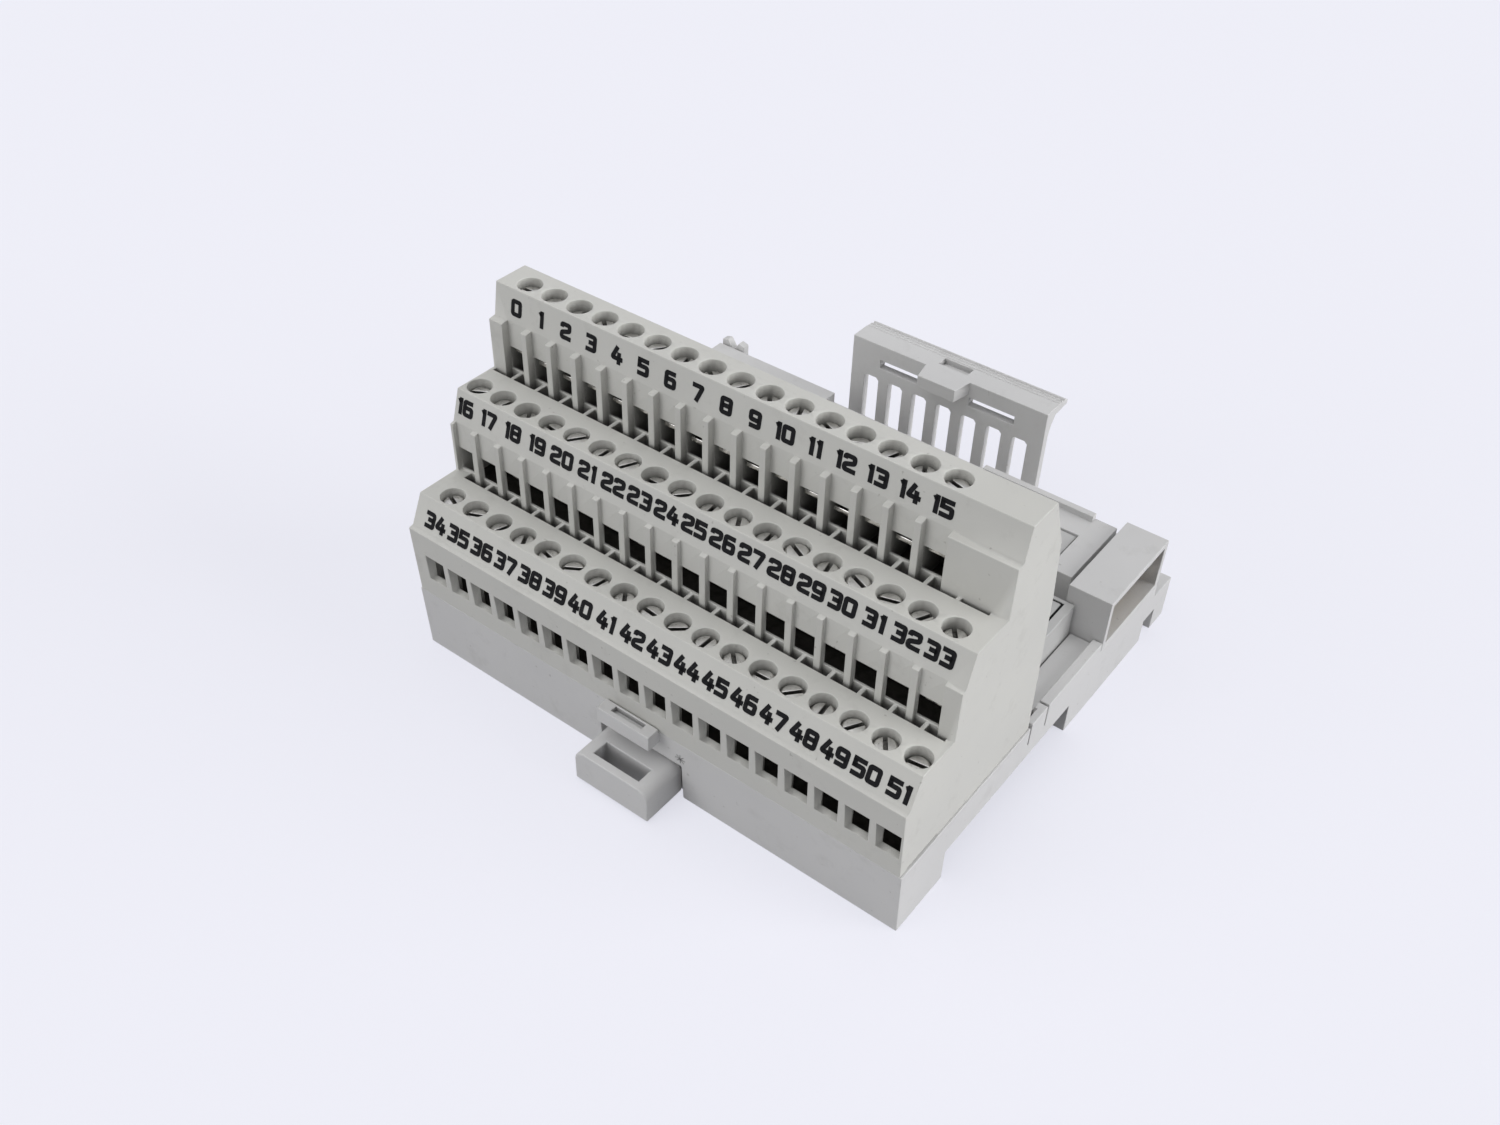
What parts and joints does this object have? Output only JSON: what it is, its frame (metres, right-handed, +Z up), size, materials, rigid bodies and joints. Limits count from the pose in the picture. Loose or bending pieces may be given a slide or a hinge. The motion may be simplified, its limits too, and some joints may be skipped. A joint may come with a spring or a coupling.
{
  "type": "terminal base",
  "caption": "Three-level screw terminal base that clips on a mounting rail, with numbered wire clamps in front and a bay with bus connectors for a plug-in module behind.",
  "frame": {"origin": "middle of the whole object, on the plane that the feet stand on", "axes": "+X along the terminal rows towards the pin header, +Y from the wiring side to the module latch, +Z up"},
  "size_m": [0.094, 0.0974, 0.0595],
  "materials": {
    "block_plastic": "fine moulded grain",
    "base_plastic": "fine moulded grain",
    "connector_plastic": "satin",
    "dial_plastic": "satin",
    "steel": "dull plated",
    "contact_metal": "tin plated",
    "gold_contact": "gold plated",
    "board": "solder mask",
    "ribbon_film": "flexible film"
  },
  "bodies": {
    "base": {"base_housing": "base_plastic", "terminal_housing": "block_plastic", "din_latch_spring": "steel", "circuit_board": "board", "bay_deck": "base_plastic", "field_connector_housing": "connector_plastic", "field_connector_contacts": "contact_metal", "bus_connector_housing": "connector_plastic", "bus_connector_contacts": "contact_metal", "bus_header_shroud": "base_plastic", "bus_header_pins": "gold_contact", "bus_ribbon": "ribbon_film", "upper_row_bars": "contact_metal", "middle_row_bar": "contact_metal", "lower_row_bar": "contact_metal", "upper_row_screws": "steel", "upper_row_clamps": "steel", "middle_row_screws": "steel", "middle_row_clamps": "steel", "lower_row_screws": "steel", "lower_row_clamps": "steel"},
    "rail_latch": {"din_latch": "base_plastic"},
    "bus_slider": {"bus_slider_housing": "base_plastic", "bus_slider_contacts": "gold_contact"},
    "key_dial": {"key_dial": "dial_plastic"},
    "module_latch": {"module_latch": "base_plastic"}
  },
  "joints": [
    {"name": "rail_latch_slide", "type": "slide", "parent": "base", "child": "rail_latch", "axis": [0, -1, 0], "range_m": [0, 0.0035], "stiffness_N_per_m": 1500, "deforming": ["din_latch_spring"]},
    {"name": "bus_connector_slide", "type": "slide", "parent": "base", "child": "bus_slider", "axis": [-1, 0, 0], "range_m": [0, 0.008], "deforming": ["bus_ribbon"]},
    {"name": "key_turn", "type": "hinge", "parent": "base", "child": "key_dial", "pos_m": [-0.03, 0.00555, 0.012], "axis": [0, 0, 1], "range_deg": [0, 315]},
    {"name": "module_latch_tilt", "type": "hinge", "parent": "base", "child": "module_latch", "pos_m": [0, 0.04185, 0.0104], "axis": [-1, 0, 0], "range_deg": [0, 15], "stiffness_Nm_per_rad": 0.4}
  ]
}
